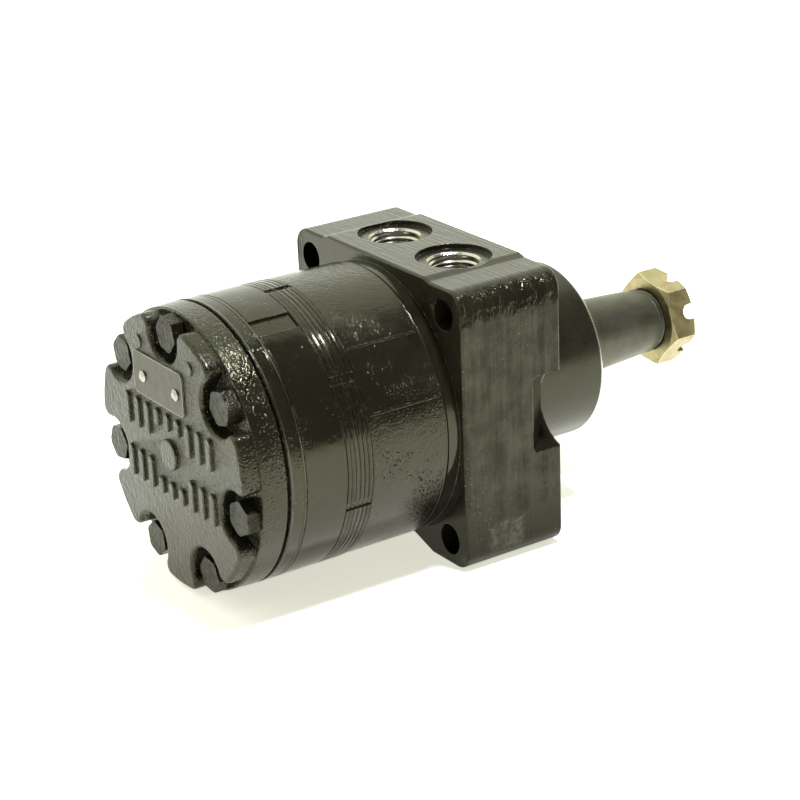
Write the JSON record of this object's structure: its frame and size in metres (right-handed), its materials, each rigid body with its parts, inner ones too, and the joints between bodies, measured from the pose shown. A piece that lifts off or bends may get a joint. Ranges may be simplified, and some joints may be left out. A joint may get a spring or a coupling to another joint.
{
  "type": "hydraulic motor",
  "caption": "Low-speed high-torque hydraulic wheel motor: square flange with pilot and two top ports, round stack, star-shaped rear cover, tapered shaft with slotted nut.",
  "frame": {"origin": "centre of the bolt circle, on the mounting face", "axes": "+X out along the shaft, +Z towards the ported side"},
  "size_m": [0.2781, 0.1302, 0.1298],
  "materials": {
    "painted_cast_iron": "gloss black paint over rough casting",
    "painted_steel": "gloss black paint over turned steel",
    "painted_bolt_steel": "gloss black paint",
    "phosphated_steel": "dark phosphated turned steel",
    "ground_steel": "ground hardened steel",
    "yellow_zinc": "yellow zinc plated steel",
    "plate_dark": "dark anodised plate with a bare rim",
    "bright_steel": "bright steel",
    "black_rubber": "matt black rubber"
  },
  "bodies": {
    "motor_body": {"balance_plate": "painted_steel", "body_seal_balance_plate": "black_rubber", "body_seal_cover": "black_rubber", "body_seal_housing": "black_rubber", "body_seal_stator": "black_rubber", "cover_bolts": "painted_bolt_steel", "dust_seal": "black_rubber", "end_cover": "painted_cast_iron", "front_bearing_race": "ground_steel", "front_thrust_washer_housing": "ground_steel", "housing": "painted_cast_iron", "manifold_plate_1": "painted_steel", "manifold_plate_2": "painted_steel", "manifold_plate_3": "painted_steel", "manifold_plate_4": "painted_steel", "manifold_plate_5": "painted_steel", "manifold_plate_6": "painted_steel", "nameplate": "plate_dark", "nameplate_screws": "bright_steel", "rear_bearing_race": "ground_steel", "rear_thrust_washer_plate": "ground_steel", "seal_backup_ring": "ground_steel", "seal_snap_ring": "ground_steel", "shaft_seal": "black_rubber", "stator": "painted_steel"},
    "shaft_assembly": {"output_shaft": "phosphated_steel", "shaft_key": "ground_steel", "slotted_nut": "yellow_zinc", "front_thrust_washer_shaft": "ground_steel", "rear_thrust_washer_shaft": "ground_steel"},
    "orbiting_spacer": {"drive_link_spacer": "ground_steel"},
    "rotor_body": {"rotor": "ground_steel"},
    "drive_link_body": {"drive_link": "ground_steel"},
    "roll_1": {"stator_roll_1": "ground_steel"},
    "roll_2": {"stator_roll_2": "ground_steel"},
    "roll_3": {"stator_roll_3": "ground_steel"},
    "roll_4": {"stator_roll_4": "ground_steel"},
    "roll_5": {"stator_roll_5": "ground_steel"},
    "roll_6": {"stator_roll_6": "ground_steel"},
    "roll_7": {"stator_roll_7": "ground_steel"},
    "front_roller_cage": {"front_bearing_rollers": "ground_steel", "front_bearing_cage": "ground_steel"},
    "rear_roller_cage": {"rear_bearing_rollers": "ground_steel", "rear_bearing_cage": "ground_steel"},
    "front_thrust_bearing": {"front_thrust_needles": "ground_steel", "front_thrust_cage": "ground_steel"},
    "rear_thrust_bearing": {"rear_thrust_needles": "ground_steel", "rear_thrust_cage": "ground_steel"}
  },
  "joints": [
    {"name": "shaft_spin", "type": "hinge", "parent": "motor_body", "child": "shaft_assembly", "pos_m": [0, 0, 0], "axis": [1, 0, 0], "continuous": true},
    {"name": "rotor_orbit", "type": "hinge", "parent": "motor_body", "child": "orbiting_spacer", "pos_m": [-0.12016, 0, 0], "axis": [1, 0, 0], "continuous": true},
    {"name": "rotor_spin", "type": "hinge", "parent": "orbiting_spacer", "child": "rotor_body", "pos_m": [-0.12016, 0, 0.0032], "axis": [1, 0, 0], "continuous": true},
    {"name": "drive_link_spin", "type": "hinge", "parent": "orbiting_spacer", "child": "drive_link_body", "pos_m": [-0.055, 0, 0], "axis": [0.9988, 0, -0.049], "continuous": true},
    {"name": "roll_1_spin", "type": "hinge", "parent": "motor_body", "child": "roll_1", "pos_m": [-0.12016, -0.01692, 0.03514], "axis": [1, 0, 0], "continuous": true},
    {"name": "roll_2_spin", "type": "hinge", "parent": "motor_body", "child": "roll_2", "pos_m": [-0.12016, -0.03802, 0.00868], "axis": [1, 0, 0], "continuous": true},
    {"name": "roll_3_spin", "type": "hinge", "parent": "motor_body", "child": "roll_3", "pos_m": [-0.12016, -0.03049, -0.02432], "axis": [1, 0, 0], "continuous": true},
    {"name": "roll_4_spin", "type": "hinge", "parent": "motor_body", "child": "roll_4", "pos_m": [-0.12016, 0, -0.039], "axis": [1, 0, 0], "continuous": true},
    {"name": "roll_5_spin", "type": "hinge", "parent": "motor_body", "child": "roll_5", "pos_m": [-0.12016, 0.03049, -0.02432], "axis": [1, 0, 0], "continuous": true},
    {"name": "roll_6_spin", "type": "hinge", "parent": "motor_body", "child": "roll_6", "pos_m": [-0.12016, 0.03802, 0.00868], "axis": [1, 0, 0], "continuous": true},
    {"name": "roll_7_spin", "type": "hinge", "parent": "motor_body", "child": "roll_7", "pos_m": [-0.12016, 0.01692, 0.03514], "axis": [1, 0, 0], "continuous": true},
    {"name": "front_rollers_orbit", "type": "hinge", "parent": "motor_body", "child": "front_roller_cage", "pos_m": [-0.001, 0, 0], "axis": [1, 0, 0], "continuous": true},
    {"name": "rear_rollers_orbit", "type": "hinge", "parent": "motor_body", "child": "rear_roller_cage", "pos_m": [-0.072, 0, 0], "axis": [1, 0, 0], "continuous": true},
    {"name": "front_thrust_orbit", "type": "hinge", "parent": "motor_body", "child": "front_thrust_bearing", "pos_m": [-0.018, 0, 0], "axis": [1, 0, 0], "continuous": true},
    {"name": "rear_thrust_orbit", "type": "hinge", "parent": "motor_body", "child": "rear_thrust_bearing", "pos_m": [-0.0937, 0, 0], "axis": [1, 0, 0], "continuous": true}
  ],
  "couplings": [
    {"joint": "rotor_orbit", "follows": "shaft_spin", "ratio": -6},
    {"joint": "rotor_spin", "follows": "shaft_spin", "ratio": 7},
    {"joint": "drive_link_spin", "follows": "shaft_spin", "ratio": 7},
    {"joint": "roll_1_spin", "follows": "shaft_spin", "ratio": -6.0415},
    {"joint": "roll_2_spin", "follows": "shaft_spin", "ratio": -6.0415},
    {"joint": "roll_3_spin", "follows": "shaft_spin", "ratio": -6.0415},
    {"joint": "roll_4_spin", "follows": "shaft_spin", "ratio": -6.0415},
    {"joint": "roll_5_spin", "follows": "shaft_spin", "ratio": -6.0415},
    {"joint": "roll_6_spin", "follows": "shaft_spin", "ratio": -6.0415},
    {"joint": "roll_7_spin", "follows": "shaft_spin", "ratio": -6.0415},
    {"joint": "front_rollers_orbit", "follows": "shaft_spin", "ratio": 0.44},
    {"joint": "rear_rollers_orbit", "follows": "shaft_spin", "ratio": 0.4444},
    {"joint": "front_thrust_orbit", "follows": "shaft_spin", "ratio": 0.5},
    {"joint": "rear_thrust_orbit", "follows": "shaft_spin", "ratio": 0.5}
  ]
}
